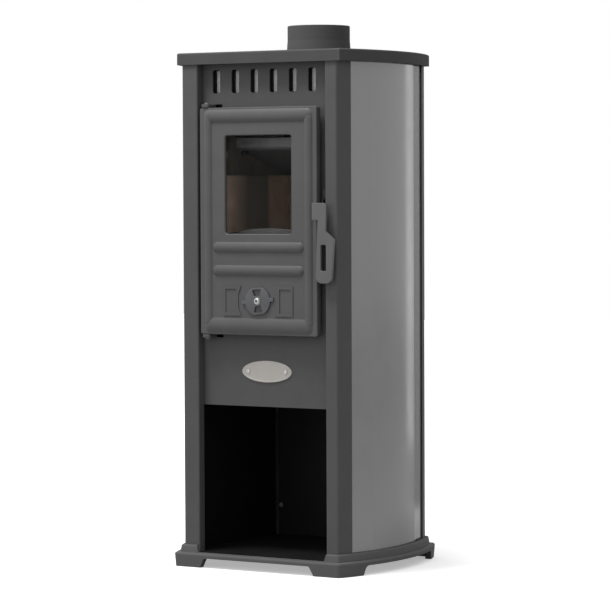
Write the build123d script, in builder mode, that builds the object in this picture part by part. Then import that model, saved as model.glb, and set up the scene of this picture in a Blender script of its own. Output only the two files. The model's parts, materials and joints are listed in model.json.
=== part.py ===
from build123d import *
import math
import os

os.makedirs("parts", exist_ok=True)

# A free-standing steel wood stove with a wood store below the firebox.
# Millimetres. X to the right, Y to the back, Z up; the origin is on the floor under the casing's centre.

# Casing: corner posts of folded sheet with bowed side panels between them
casing_half_width = 169
casing_half_depth = 167
side_bow = 34
post_sheet = 1.5
post_bend = 3
post_corner_bend = 5
post_flange = 12
post_side_width = 34
post_front_width = 29.5
opening_shift = 4.2
panel_recess = 20
panel_sheet = 1.5
panel_tuck = 0.5
panel_lap = 10
panel_crease = 80

# Plinth
skirt_height = 27
skirt_overhang = 16
skirt_flare = 5
skirt_wall = 12
skirt_corner = 6
skirt_round = 4
deck_thickness = 6
arch_height = 18
arch_front_corner = 6
arch_side_corner = 9
foot_front = 54.5
foot_front_slant = 9
foot_side_front = 56
foot_side_rear = 43
foot_side_slant = 6
collar_overhang = 8
collar_taper = 9
collar_height = 14
collar_fit = 0.4
collar_corner = 5
collar_round = 3.5
collar_end_gap = 1
collar_end_slope = 16
floor_sheet = 1.5
sheet_gap = 0.2
tongue_set_back = 1

# Height of the casing above the plinth's deck, and the top plate
casing_height = 941.6
plate_sheet = 3
plate_rim = 22.3
plate_front_overhang = 3.7
plate_side_overhang = 9.7
plate_round = 3.5

# Wood store
front_below_door = 135
store_side_gap = 10.5
liner_sheet = 1.5

# Front panel, inner front plate and slots
front_sheet = 2.5
inner_front_gap = 9.5
inner_front_sheet = 3
inner_front_side_gap = 3.5
slot_count = 6
slot_pitch = 42
slot_width = 16.5
slot_height = 44
slot_corner = 4
slot_below_rim = 10.3
deflector_sheet = 1
deflector_gap = 0.8
deflector_side_gap = 5
deflector_foot = 30

# Firebox
firebox_sill = 7
firebox_head_room = 84.6
shield_air_gap = 13.5
firebox_back = 124
firebox_wall = 3
rail_leg = 28
rail_sheet = 3
rail_side_gap = 2.5
shield_sheet = 1
shield_above_firebox = 15
shield_end_gap = 6
brick_thickness = 22
brick_height = 150
brick_fit = 0.5
bed_thickness = 8
bed_above_floor = 134
ledge_size = 12
ledge_thickness = 4
grate_width = 150
grate_depth = 170
grate_lip = 8
grate_thickness = 6
grate_fit = 0.5
grate_centre = -12
grate_slots = 7
grate_slot_width = 9
grate_slot_pitch = 18
grate_slot_length = 140
retainer_thickness = 5
retainer_half = 108
retainer_side_height = 36
retainer_arch = 14
baffle_thickness = 5
baffle_rise = 52.5
baffle_length = 180
baffle_fit = 0.5
baffle_lip = 18
peg_radius = 4
peg_length = 14
peg_from_front = 22

# Ash pan
pan_half_width = 100
pan_depth = 240
pan_height = 58
pan_sheet = 1.2
pan_from_front = 8
runner_height = 19.5
runner_width = 6
runner_half_spread = 62
pan_lip = 12

# Flue
flue_radius = 60
flue_bore = 56
flue_root_radius = 61.9
flue_root_height = 27
flue_root_band = 2
flue_edge_chamfer = 1
flue_above_plate = 55.5
flue_centre = 54
flue_flange_radius = 76
flue_flange_thickness = 5
flue_hole_gap = 0.8
flue_bolt_circle_radius = 68
flue_bolts = 4
bolt_radius = 3
bolt_fit = 0.1
bolt_head_radius = 5.4
bolt_head_height = 3.9

# Door
door_side_gap = 11.5
door_below_slots = 27.6
door_height = 425.4
door_corner = 5
door_thickness = 12.8
door_plate = 6
door_rim = 6
door_edge_round = 1.5
door_stand_off = 23
bead_height = 4.5
bead_side_inset = 9
bead_top_inset = 3.5
bead_side_width = 18
bead_top_width = 25
bead_bottom_width = 28
bead_fullness = 0.93
bead_side_end = 3
rib_side_margin = 28
rib_height = 20
rib_low_centre = 120.5
rib_high_centre = 164
window_side_margin = 55.5
window_sill = 189
window_head = 52.4
window_corner = 5
window_chamfer = 1.6
ornament_inner = 37.5
ornament_outer = 76
ornament_half_height = 28
ornament_waist = 6
ornament_waist_half = 12
recess_inner = 47
recess_outer = 71.5
recess_half_height = 22.2
ornament_relief = 1.6
gasket_inset = 23
gasket_radius = 4.5
gasket_corner = 14
seal_gap = 0.3
mouth_wall = 4
mouth_fit = 0.5

# Window glass and what holds it
glass_thickness = 4
glass_lap = 9
glass_gasket = 2
tape_set_back = 1
clip_width = 14
clip_spacing = 110.4
clip_sheet = 2
clip_boss_radius = 5
clip_reach = 6
clip_boss_gap = 1.5
clip_screw_radius = 2
clip_screw_head = 3.6
clip_screw_head_height = 2.2

# Hinge
hinge_inset = 12
pin_radius = 3.5
pin_fit = 0.05
pin_depth = 15
pin_end_gap = 0.5
pin_head = 5
pin_head_height = 3
lug_thickness = 6
lug_gap = 0.8
lug_half_width = 8
lug_nose_corner = 4
lug_slot_fit = 0.3
lug_slot_room = 16
lug_foot_reach = 4.5
lug_foot_thickness = 2
boss_margin = 2
boss_lap = 1

# Air disc
disc_height = 64
disc_radius = 27
disc_thickness = 3
disc_gap = 0.3
disc_flat = 25
disc_ear_reach = 34.5
disc_ear_width = 7
disc_tilt = 5.7
disc_turn = 55
air_hole_inner = 9.5
air_hole_outer = 21.5
air_hole_inner_half = 6
air_hole_outer_half = 10
air_hole_corner = 2
disc_screw_radius = 3
disc_screw_head = 5.9
disc_screw_head_height = 3.2
disc_screw_round = 1.9
disc_screw_tail = 3
disc_nut_radius = 5.4
disc_nut_thickness = 2.6
washer_radius = 6.8
washer_thickness = 1
washer_gap = 0.1

# Handle and latch
spindle_inset = 3
spindle_height = 231
spindle_radius = 3
ear_radius = 5.5
handle_stand_off = 6
handle_thickness = 6
handle_edge_round = 1
handle_blind = 3
handle_hub_radius = 6
hub_gap = 0.3
head_left = 7.2
head_right = 24
head_above = 15.9
head_below = 15.6
head_corner_radius = 8.5
neck_left = 5.1
neck_right = 22.2
flare_top = 36
flare_bottom = 51
grip_left = 0.5
grip_right = 39.8
grip_end = 132
grip_round = 12
grip_foot_right = 34.4
grip_slot_width = 11.5
grip_slot_height = 48
grip_slot_corner = 3
grip_slot_centre_x = 17.3
grip_slot_centre_z = 85
tongue_length = 26
tongue_width = 5.6
tongue_thickness = 4
tongue_gap = 0.5
tongue_hub_radius = 5
nut_radius = 4.6
nut_thickness = 2.4
keeper_lip_start = 3.4
keeper_lip_gap = 1.5
keeper_lip_thickness = 3
keeper_lip_drop = 6
keeper_above_tongue = 2
keeper_tooth_height = 12
keeper_height = 34
keeper_screw_low = 19
keeper_screw_pitch = 9
keeper_base = 3
keeper_edge_gap = 0.3
keeper_width = 9
keeper_screw_radius = 1.6
keeper_screw_head = 2.6
keeper_screw_head_height = 1

# Badge
badge_width = 109
badge_shift = 4.7
badge_height = 41
badge_thickness = 2
badge_edge_round = 1
badge_below_door = 69
badge_rivet_offset = 41
rivet_radius = 2.4
rivet_head_radius = 3.6
rivet_head_height = 1.4
rivet_head_round = 1

# Back panel
back_sheet = 1.5
vent_count = 7
vent_pitch = 26
vent_width = 8
vent_height = 46
vent_rows = (560, 760)
back_screw_radius = 2.5
back_screw_head = 4.4
back_screw_head_height = 2.4
back_screw_rows = 4
back_screw_margin = 60

# How near an edge lies to the place it is picked by
near = 0.01

# Places that follow from the sizes above
side_radius = (casing_half_depth**2 + side_bow**2) / (2 * side_bow)
side_centre = casing_half_width + side_bow - side_radius
deck = skirt_height
casing_top = deck + casing_height
plate_top = casing_top + plate_sheet
rim_bottom = plate_top - plate_rim
front_face = -(casing_half_depth - panel_recess)
front_back = front_face + front_sheet
inner_front = front_back + inner_front_gap
inner_back = inner_front + inner_front_sheet
rear_face = casing_half_depth - panel_recess
rear_inner = rear_face - back_sheet
opening_half = casing_half_width - post_front_width
store_half_width = casing_half_width - store_side_gap
inner_front_half = opening_half - inner_front_side_gap
deflector_half = inner_front_half - deflector_side_gap
rail_outer = inner_front_half - rail_side_gap
firebox_half_width = rail_outer - shield_air_gap
slot_top = rim_bottom - slot_below_rim
slot_middle = slot_top - slot_height / 2
door_half_width = opening_half - door_side_gap
door_top = slot_top - slot_height - door_below_slots
door_bottom = door_top - door_height
store_top = door_bottom - front_below_door
store_height = store_top - deck
door_front = front_face - door_stand_off
door_plate_back = door_front + door_plate
door_back = door_front + door_thickness
bead_front = door_front - bead_height
door_middle = door_bottom + door_height / 2
gasket_half_width = door_half_width - gasket_inset
gasket_half_height = door_height / 2 - gasket_inset
mouth_front = door_plate_back + 2 * gasket_radius + seal_gap
mouth_half_width = gasket_half_width + mouth_wall / 2
mouth_half_height = gasket_half_height + mouth_wall / 2
rib_half_width = door_half_width - rib_side_margin
window_half_width = door_half_width - window_side_margin
window_height = door_height - window_sill - window_head
window_middle = door_bottom + window_sill + window_height / 2
hinge_x = -door_half_width + hinge_inset
hinge_y = door_front + door_thickness / 2
lug_bottoms = (door_bottom - lug_gap - lug_thickness, door_top + lug_gap)
lug_slot_left = hinge_x - lug_half_width - lug_slot_fit
lug_slot_right = hinge_x + lug_half_width + lug_slot_room
disc_z = door_bottom + disc_height
disc_back = door_front - disc_gap
disc_front = disc_back - disc_thickness
spindle_x = door_half_width + spindle_inset
spindle_z = door_bottom + spindle_height
handle_back = door_front - handle_stand_off
handle_front = handle_back - handle_thickness
tongue_front = door_back + tongue_gap
tongue_back = tongue_front + tongue_thickness
firebox_floor = door_bottom + firebox_sill
firebox_top = casing_top - firebox_head_room
firebox_height = firebox_top - firebox_floor
shield_height = firebox_height + shield_above_firebox
firebox_inner_half = firebox_half_width - firebox_wall
bed_bottom = firebox_floor + bed_above_floor
bed_top = bed_bottom + bed_thickness
brick_top = bed_top + brick_height
flue_top = plate_top + flue_above_plate


def level(height):
    """A plane to draw a plan on, at this height"""
    return Plane.XY.offset(height)


def upright(depth):
    """A plane to draw a front view on, at this Y; a positive extrude comes forward"""
    return Plane.XZ.offset(-depth)


def casing_outline(side_growth=0, front_growth=0):
    """The casing's plan, straight in front and behind and bowed at the sides, grown outwards"""
    half_depth = casing_half_depth + front_growth
    radius = side_radius + side_growth
    half_width = side_centre + math.sqrt(radius**2 - half_depth**2)
    widest = side_centre + radius
    with BuildLine() as plan:
        Line((-half_width, -half_depth), (half_width, -half_depth))
        ThreePointArc((half_width, -half_depth), (widest, 0), (half_width, half_depth))
        Line((half_width, half_depth), (-half_width, half_depth))
        ThreePointArc((-half_width, half_depth), (-widest, 0), (-half_width, -half_depth))
    return plan.line


# Plinth: a casting with a flared skirt, arched between four feet, a deck and a collar round the casing's foot
with BuildPart() as plinth:
    with BuildSketch():
        make_face(casing_outline(skirt_overhang, skirt_overhang))
        fillet(vertices(), skirt_corner)
    extrude(amount=skirt_height, taper=-skirt_flare)
    fillet(plinth.edges().group_by(Axis.Z)[-1], skirt_round)
    with BuildSketch():
        make_face(casing_outline(skirt_overhang - skirt_wall, skirt_overhang - skirt_wall))
    extrude(amount=skirt_height - deck_thickness, mode=Mode.SUBTRACT)
    foot_width_half = side_centre + math.sqrt(
        (side_radius + skirt_overhang) ** 2 - (casing_half_depth + skirt_overhang) ** 2
    )
    front_arch_half = foot_width_half - foot_front
    skirt_half_depth = casing_half_depth + skirt_overhang
    through = 2 * (casing_half_width + side_bow + skirt_overhang + skirt_height)
    for plane, low, high, slant, corner in (
        (Plane.XZ, -front_arch_half, front_arch_half, foot_front_slant, arch_front_corner),
        (
            Plane.YZ,
            -skirt_half_depth + foot_side_front,
            skirt_half_depth - foot_side_rear,
            foot_side_slant,
            arch_side_corner,
        ),
    ):
        with BuildSketch(plane):
            Polygon((low, 0), (high, 0), (high - slant, arch_height), (low + slant, arch_height), align=None)
            fillet(vertices().group_by(Axis.Y)[-1], corner)
        extrude(amount=through, both=True, mode=Mode.SUBTRACT)
    with BuildSketch(level(skirt_height)):
        make_face(casing_outline(collar_overhang, collar_overhang))
        fillet(vertices(), collar_corner)
    extrude(amount=collar_height, taper=collar_taper)
    fillet(plinth.edges().group_by(Axis.Z)[-1], collar_round)
    with BuildSketch(level(skirt_height)):
        make_face(casing_outline(collar_fit, collar_fit))
    extrude(amount=collar_height, mode=Mode.SUBTRACT)
    with BuildSketch(level(skirt_height)):
        gap_depth = casing_half_depth + 2 * collar_overhang
        with Locations((opening_shift, -gap_depth / 2)):
            Rectangle(2 * (opening_half - collar_end_gap), gap_depth)
        with Locations((0, gap_depth / 2)):
            Rectangle(2 * (opening_half - collar_end_gap), gap_depth)
    extrude(amount=collar_height, taper=-collar_end_slope, mode=Mode.SUBTRACT)

# Niche floor: a loose sheet on the deck, with a tongue between the posts in front
with BuildPart() as niche_floor:
    tongue_front_edge = -casing_half_depth + tongue_set_back
    with BuildSketch(level(deck)):
        floor_front = front_face + sheet_gap
        floor_depth = rear_inner - sheet_gap - floor_front
        with Locations((0, floor_front + floor_depth / 2)):
            Rectangle(2 * (store_half_width - sheet_gap), floor_depth)
        with Locations((opening_shift, (tongue_front_edge + floor_front) / 2)):
            Rectangle(2 * (opening_half - sheet_gap), floor_front - tongue_front_edge)
    extrude(amount=floor_sheet)


def post_section(side, end):
    """A post's folded sheet in plan: flange, return, front face and side face; side and end are -1 or 1"""
    corner_angle = math.asin(casing_half_depth / side_radius)
    edge_angle = corner_angle - post_side_width / side_radius
    edge_x = side_centre + side_radius * math.cos(edge_angle)
    edge_y = side_radius * math.sin(edge_angle)
    recess_y = casing_half_depth - panel_recess
    inner_x = opening_half if end > 0 else opening_half + side * opening_shift
    points = [
        (inner_x + post_flange, recess_y),
        (inner_x, recess_y),
        (inner_x, casing_half_depth),
        (casing_half_width, casing_half_depth),
        (edge_x, edge_y),
    ]
    with BuildLine() as profile:
        FilletPolyline(
            *[(side * x, end * y) for x, y in points],
            radius=[post_bend, post_bend, post_corner_bend],
        )
        inner_side = Side.RIGHT if side * end > 0 else Side.LEFT
        offset(amount=post_sheet, side=inner_side, kind=Kind.INTERSECTION)
    return profile.line


# Corner posts: one folded sheet each, standing in the plinth's collar and reaching up under the top plate
with BuildPart() as front_left_post:
    with BuildSketch(level(deck)):
        make_face(post_section(-1, -1))
    extrude(amount=casing_height)

with BuildPart() as front_right_post:
    with BuildSketch(level(deck)):
        make_face(post_section(1, -1))
    extrude(amount=casing_height)

with BuildPart() as rear_left_post:
    with BuildSketch(level(deck)):
        make_face(post_section(-1, 1))
    extrude(amount=casing_height)

with BuildPart() as rear_right_post:
    with BuildSketch(level(deck)):
        make_face(post_section(1, 1))
    extrude(amount=casing_height)


def side_panel_section(side):
    """A side panel in plan: a flat wing, a rolled middle and a flat wing, tucked behind the posts' edges"""
    radius = side_radius - post_sheet - panel_tuck
    end_angle = math.asin(casing_half_depth / side_radius) - (post_side_width - panel_lap) / side_radius
    end_x = side * (side_centre + radius * math.cos(end_angle))
    end_y = radius * math.sin(end_angle)
    crease_x = side * (side_centre + math.sqrt(radius**2 - panel_crease**2))
    widest = side * (side_centre + radius)
    with BuildLine() as profile:
        Line((end_x, -end_y), (crease_x, -panel_crease))
        ThreePointArc((crease_x, -panel_crease), (widest, 0), (crease_x, panel_crease))
        Line((crease_x, panel_crease), (end_x, end_y))
        inner_side = Side.LEFT if side > 0 else Side.RIGHT
        offset(amount=panel_sheet, side=inner_side, kind=Kind.INTERSECTION)
    return profile.line


# Side panels: silver-grey sheet
with BuildPart() as left_side_panel:
    with BuildSketch(level(deck)):
        make_face(side_panel_section(-1))
    extrude(amount=casing_height)

with BuildPart() as right_side_panel:
    with BuildSketch(level(deck)):
        make_face(side_panel_section(1))
    extrude(amount=casing_height)

screw_step = (casing_height - 2 * back_screw_margin) / (back_screw_rows - 1)
screw_rows = [deck + back_screw_margin + screw_step * i for i in range(back_screw_rows)]
screw_points = [(side * (opening_half + post_flange / 2), row) for side in (-1, 1) for row in screw_rows]

# Back panel: flat sheet on the rear posts' flanges, with vents for the warm air
with BuildPart() as back_panel:
    with BuildSketch(upright(rear_face)):
        with Locations((0, (deck + casing_top) / 2)):
            Rectangle(2 * (opening_half + post_flange), casing_height)
        for row in vent_rows:
            with Locations((0, row)):
                with GridLocations(vent_pitch, 0, vent_count, 1):
                    SlotOverall(vent_height, vent_width, rotation=90, mode=Mode.SUBTRACT)
        with Locations(*screw_points):
            Circle(back_screw_radius + pin_fit, mode=Mode.SUBTRACT)
    extrude(amount=back_sheet)

# Back panel screws: pan heads inside the casing, shanks through the panel up to the rear posts' flanges
with BuildPart() as back_panel_screws:
    with BuildSketch(upright(rear_inner)):
        with Locations(*screw_points):
            Circle(back_screw_head)
    extrude(amount=back_screw_head_height)
    with BuildSketch(upright(rear_inner)):
        with Locations(*screw_points):
            Circle(back_screw_radius)
    extrude(amount=-back_sheet)

# Front panel: set back between the front posts on their flanges, slotted at its top
with BuildPart() as front_panel:
    with BuildSketch(upright(front_back)):
        with Locations((opening_shift, (store_top + casing_top) / 2)):
            Rectangle(2 * (opening_half + post_flange), casing_top - store_top)
        with Locations((0, door_middle)):
            RectangleRounded(
                2 * (mouth_half_width + mouth_fit),
                2 * (mouth_half_height + mouth_fit),
                gasket_corner + mouth_wall / 2 + mouth_fit,
                mode=Mode.SUBTRACT,
            )
        with Locations((0, slot_middle)):
            with GridLocations(slot_pitch, 0, slot_count, 1):
                RectangleRounded(slot_width, slot_height, slot_corner, mode=Mode.SUBTRACT)
        for lug_bottom in lug_bottoms:
            with Locations(((lug_slot_left + lug_slot_right) / 2, lug_bottom + lug_thickness / 2)):
                Rectangle(
                    lug_slot_right - lug_slot_left, lug_thickness + 2 * lug_slot_fit, mode=Mode.SUBTRACT
                )
    extrude(amount=front_sheet)

# Wood store liner: side walls and ceiling folded from one sheet
with BuildPart() as niche_liner:
    with BuildSketch(upright(rear_inner - sheet_gap)):
        with BuildLine():
            outer = store_half_width + liner_sheet
            Polyline(
                (-outer, deck),
                (-outer, store_top + liner_sheet),
                (outer, store_top + liner_sheet),
                (outer, deck),
                (store_half_width, deck),
                (store_half_width, store_top),
                (-store_half_width, store_top),
                (-store_half_width, deck),
                close=True,
            )
        make_face()
    extrude(amount=rear_inner - sheet_gap - front_back)
    with BuildSketch(level(deck)):
        post_inner = -casing_half_depth + post_sheet
        for side in (-1, 1):
            with Locations((side * (store_half_width + liner_sheet / 2), (post_inner + front_back) / 2)):
                Rectangle(liner_sheet, front_back - post_inner)
    extrude(amount=store_height)

# Top plate: a pan of sheet with a deep rim all round, over the posts
with BuildPart() as top_plate:
    with BuildSketch(level(rim_bottom)):
        make_face(casing_outline(plate_side_overhang, plate_front_overhang))
    extrude(amount=plate_rim)
    fillet(top_plate.edges().filter_by_position(Axis.Z, plate_top - near, plate_top + near), plate_round)
    with BuildSketch(level(rim_bottom)):
        make_face(casing_outline(plate_side_overhang - plate_sheet, plate_front_overhang - plate_sheet))
    extrude(amount=plate_rim - plate_sheet, mode=Mode.SUBTRACT)
    with BuildSketch(level(rim_bottom)):
        with Locations((0, flue_centre)):
            Circle(flue_root_radius + flue_hole_gap)
    extrude(amount=plate_rim, mode=Mode.SUBTRACT)

# Flue collar: a casting bolted to the firebox, with a spigot above the top plate
with BuildPart() as flue_collar:
    with BuildSketch(Plane.YZ):
        with BuildLine():
            root_top = plate_top + flue_root_height
            Polyline(
                (flue_centre + flue_bore, firebox_top),
                (flue_centre + flue_flange_radius, firebox_top),
                (flue_centre + flue_flange_radius, firebox_top + flue_flange_thickness),
                (flue_centre + flue_radius, firebox_top + flue_flange_thickness),
                (flue_centre + flue_radius, rim_bottom),
                (flue_centre + flue_root_radius, plate_top - plate_sheet - flue_root_band),
                (flue_centre + flue_root_radius, plate_top + flue_root_band),
                (flue_centre + flue_radius, root_top),
                (flue_centre + flue_radius, flue_top - flue_edge_chamfer),
                (flue_centre + flue_radius - flue_edge_chamfer, flue_top),
                (flue_centre + flue_bore, flue_top),
                close=True,
            )
        make_face()
    revolve(axis=Axis((0, flue_centre, 0), (0, 0, 1)))
    with BuildSketch(level(firebox_top)):
        with Locations((0, flue_centre)):
            with PolarLocations(flue_bolt_circle_radius, flue_bolts, start_angle=45):
                Circle(bolt_radius + bolt_fit)
    extrude(amount=flue_flange_thickness, mode=Mode.SUBTRACT)

# Flue collar bolts: hexagon heads on the flange
with BuildPart() as flue_collar_bolts:
    with BuildSketch(level(firebox_top + flue_flange_thickness)):
        with Locations((0, flue_centre)):
            with PolarLocations(flue_bolt_circle_radius, flue_bolts, start_angle=45):
                RegularPolygon(bolt_head_radius, 6)
    extrude(amount=bolt_head_height)
    with BuildSketch(level(firebox_top + flue_flange_thickness)):
        with Locations((0, flue_centre)):
            with PolarLocations(flue_bolt_circle_radius, flue_bolts, start_angle=45):
                Circle(bolt_radius)
    extrude(amount=-flue_flange_thickness)

# Inner front plate: behind the front panel, slotted like it, with the firebox mouth
with BuildPart() as inner_front_plate:
    with BuildSketch(upright(inner_back)):
        with Locations((0, (firebox_floor + casing_top) / 2)):
            Rectangle(2 * inner_front_half, casing_top - firebox_floor)
        with Locations((0, door_middle)):
            RectangleRounded(
                2 * (mouth_half_width - mouth_wall),
                2 * (mouth_half_height - mouth_wall),
                gasket_corner - mouth_wall / 2,
                mode=Mode.SUBTRACT,
            )
        with Locations((0, slot_middle)):
            with GridLocations(slot_pitch, 0, slot_count, 1):
                RectangleRounded(slot_width, slot_height, slot_corner, mode=Mode.SUBTRACT)
    extrude(amount=inner_front_sheet)

# Mouth frame: the collar that the door's gasket closes on, welded to the inner front plate
with BuildPart() as mouth_frame:
    with BuildSketch(upright(inner_front)):
        with Locations((0, door_middle)):
            RectangleRounded(
                2 * mouth_half_width, 2 * mouth_half_height, gasket_corner + mouth_wall / 2
            )
            RectangleRounded(
                2 * (mouth_half_width - mouth_wall),
                2 * (mouth_half_height - mouth_wall),
                gasket_corner - mouth_wall / 2,
                mode=Mode.SUBTRACT,
            )
    extrude(amount=inner_front - mouth_front)

# Air deflector: bright galvanised sheet behind the slots, standing on the firebox
with BuildPart() as air_deflector:
    with BuildSketch(level(firebox_top)):
        deflector_front = inner_back + deflector_gap
        with Locations((0, deflector_front + deflector_foot / 2)):
            Rectangle(2 * deflector_half, deflector_foot)
    extrude(amount=deflector_sheet)
    with BuildSketch(level(firebox_top)):
        with Locations((0, deflector_front + deflector_sheet / 2)):
            Rectangle(2 * deflector_half, deflector_sheet)
    extrude(amount=casing_top - 2 * deflector_sheet - firebox_top)

# Firebox shell: welded plate, open towards the inner front plate, with the flue outlet in its top
with BuildPart() as firebox_shell:
    firebox_depth = firebox_back - inner_back
    with BuildSketch(level(firebox_floor)):
        with Locations((0, inner_back + firebox_depth / 2)):
            Rectangle(2 * firebox_half_width, firebox_depth)
    extrude(amount=firebox_height)
    with BuildSketch(level(firebox_floor + firebox_wall)):
        with Locations((0, inner_back + (firebox_depth - firebox_wall) / 2)):
            Rectangle(2 * firebox_inner_half, firebox_depth - firebox_wall)
    extrude(amount=firebox_height - 2 * firebox_wall, mode=Mode.SUBTRACT)
    with BuildSketch(level(firebox_top)):
        with Locations((0, flue_centre)):
            Circle(flue_bore)
    extrude(amount=-firebox_wall, mode=Mode.SUBTRACT)

# Firebox rails: two angles from the front panel to the back panel that carry the firebox
with BuildPart() as firebox_rails:
    for side in (-1, 1):
        with BuildSketch(upright(rear_inner)):
            with BuildLine():
                Polyline(
                    (side * rail_outer, firebox_floor),
                    (side * (rail_outer - rail_leg), firebox_floor),
                    (side * (rail_outer - rail_leg), firebox_floor - rail_sheet),
                    (side * (rail_outer - rail_sheet), firebox_floor - rail_sheet),
                    (side * (rail_outer - rail_sheet), firebox_floor - rail_leg),
                    (side * rail_outer, firebox_floor - rail_leg),
                    close=True,
                )
            make_face()
        extrude(amount=rear_inner - front_back)

# Heat shields: galvanised sheets that stand on the rails beside and behind the firebox
with BuildPart() as left_heat_shield:
    with BuildSketch(level(firebox_floor)):
        shield_depth = firebox_back - inner_back
        with Locations((-rail_outer + shield_sheet / 2, inner_back + shield_depth / 2)):
            Rectangle(shield_sheet, shield_depth)
    extrude(amount=shield_height)

with BuildPart() as right_heat_shield:
    with BuildSketch(level(firebox_floor)):
        with Locations((rail_outer - shield_sheet / 2, inner_back + shield_depth / 2)):
            Rectangle(shield_sheet, shield_depth)
    extrude(amount=shield_height)

with BuildPart() as rear_heat_shield:
    with BuildSketch(level(firebox_floor)):
        with Locations((0, firebox_back + shield_end_gap + shield_sheet / 2)):
            Rectangle(2 * rail_outer, shield_sheet)
    extrude(amount=shield_height)

# Grate ledges: bars welded to the firebox walls, under the grate bed
brick_front = inner_back + 2 * brick_fit + retainer_thickness
firebox_inner_back = firebox_back - firebox_wall
with BuildPart() as grate_ledges:
    ledge_depth = firebox_inner_back - inner_back
    with BuildSketch(level(bed_bottom)):
        for side in (-1, 1):
            with Locations((side * (firebox_inner_half - ledge_size / 2), inner_back + ledge_depth / 2)):
                Rectangle(ledge_size, ledge_depth)
    extrude(amount=-ledge_thickness)

# Grate bed: a cast plate across the firebox with a stepped hole for the grate
with BuildPart() as grate_bed:
    with BuildSketch(level(bed_bottom)):
        with Locations((0, inner_back + ledge_depth / 2)):
            Rectangle(2 * (firebox_inner_half - brick_fit), ledge_depth - 2 * brick_fit)
        with Locations((0, grate_centre)):
            Rectangle(grate_width - 2 * grate_lip, grate_depth - 2 * grate_lip, mode=Mode.SUBTRACT)
    extrude(amount=bed_thickness)
    with BuildSketch(level(bed_top)):
        with Locations((0, grate_centre)):
            Rectangle(grate_width + 2 * grate_fit, grate_depth + 2 * grate_fit)
    extrude(amount=-grate_thickness, mode=Mode.SUBTRACT)

# Grate: a slotted casting that drops into the bed
with BuildPart() as grate:
    with BuildSketch(level(bed_top - grate_thickness)):
        with Locations((0, grate_centre)):
            Rectangle(grate_width, grate_depth)
            with GridLocations(grate_slot_pitch, 0, grate_slots, 1):
                SlotOverall(grate_slot_length, grate_slot_width, rotation=90, mode=Mode.SUBTRACT)
    extrude(amount=grate_thickness)

# Fire bricks: one slab at each side and one across the back
with BuildPart() as left_fire_brick:
    brick_depth = firebox_inner_back - brick_fit - brick_front
    with BuildSketch(level(bed_top)):
        brick_x = firebox_inner_half - brick_fit - brick_thickness / 2
        with Locations((-brick_x, brick_front + brick_depth / 2)):
            Rectangle(brick_thickness, brick_depth)
    extrude(amount=brick_height)

with BuildPart() as right_fire_brick:
    with BuildSketch(level(bed_top)):
        with Locations((brick_x, brick_front + brick_depth / 2)):
            Rectangle(brick_thickness, brick_depth)
    extrude(amount=brick_height)

with BuildPart() as back_fire_brick:
    with BuildSketch(level(bed_top)):
        back_brick_half = firebox_inner_half - 2 * brick_fit - brick_thickness
        with Locations((0, firebox_inner_back - brick_fit - brick_thickness / 2)):
            Rectangle(2 * back_brick_half, brick_thickness)
    extrude(amount=brick_height)

# Log retainer: a cast plate with an arched top, standing in front of the bricks
with BuildPart() as log_retainer:
    with BuildSketch(upright(inner_back + brick_fit + retainer_thickness)):
        with BuildLine():
            side_top = bed_top + retainer_side_height
            Line((-retainer_half, side_top), (-retainer_half, bed_top))
            Line((-retainer_half, bed_top), (retainer_half, bed_top))
            Line((retainer_half, bed_top), (retainer_half, side_top))
            crown = side_top + retainer_arch
            ThreePointArc((retainer_half, side_top), (0, crown), (-retainer_half, side_top))
        make_face()
    extrude(amount=retainer_thickness)

# Baffle: a plate that rises from the back bricks to an upright front lip, and the pegs that carry it
baffle_back = firebox_inner_back - baffle_fit
baffle_low = brick_top + baffle_fit
baffle_slope = math.atan2(baffle_rise, baffle_length)
with BuildPart() as baffle:
    with BuildSketch(Plane.YZ.offset(-(firebox_inner_half - baffle_fit))):
        with BuildLine():
            lift_y = baffle_thickness * math.sin(baffle_slope)
            lift_z = baffle_thickness * math.cos(baffle_slope)
            lip_front = baffle_back - lift_y - baffle_length
            lip_low = baffle_low + baffle_rise
            Polyline(
                (baffle_back - lift_y, baffle_low),
                (lip_front, lip_low),
                (lip_front, lip_low + baffle_lip),
                (lip_front + baffle_thickness, lip_low + baffle_lip),
                (lip_front + baffle_thickness, lip_low + lift_z),
                (baffle_back, baffle_low + lift_z),
                close=True,
            )
        make_face()
    extrude(amount=2 * (firebox_inner_half - baffle_fit))

with BuildPart() as baffle_pegs:
    along = baffle_length - peg_from_front
    peg_y = baffle_back - lift_y - along - (peg_radius + baffle_fit) * math.sin(baffle_slope)
    peg_z = baffle_low + along * math.tan(baffle_slope) - (peg_radius + baffle_fit) * math.cos(baffle_slope)
    for side in (-1, 1):
        with BuildSketch(Plane.YZ.offset(side * firebox_inner_half)):
            with Locations((peg_y, peg_z)):
                Circle(peg_radius)
        extrude(amount=-side * peg_length)

# Ash pan and the runners that it slides on
pan_bottom = firebox_floor + firebox_wall + runner_height
pan_front = inner_back + pan_from_front
with BuildPart() as ash_pan_runners:
    runner_depth = ledge_depth
    with BuildSketch(level(firebox_floor + firebox_wall)):
        for side in (-1, 1):
            with Locations((side * runner_half_spread, inner_back + runner_depth / 2)):
                Rectangle(runner_width, runner_depth)
    extrude(amount=runner_height)

with BuildPart() as ash_pan:
    with BuildSketch(level(pan_bottom)):
        with Locations((0, pan_front + pan_depth / 2)):
            Rectangle(2 * pan_half_width, pan_depth)
    extrude(amount=pan_height)
    with BuildSketch(level(pan_bottom + pan_sheet)):
        with Locations((0, pan_front + pan_depth / 2)):
            Rectangle(2 * (pan_half_width - pan_sheet), pan_depth - 2 * pan_sheet)
    extrude(amount=pan_height - pan_sheet, mode=Mode.SUBTRACT)
    with BuildSketch(level(pan_bottom + pan_height)):
        with Locations((0, pan_front - pan_lip / 2)):
            Rectangle(pan_half_width, pan_lip)
    extrude(amount=-pan_sheet)

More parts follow.
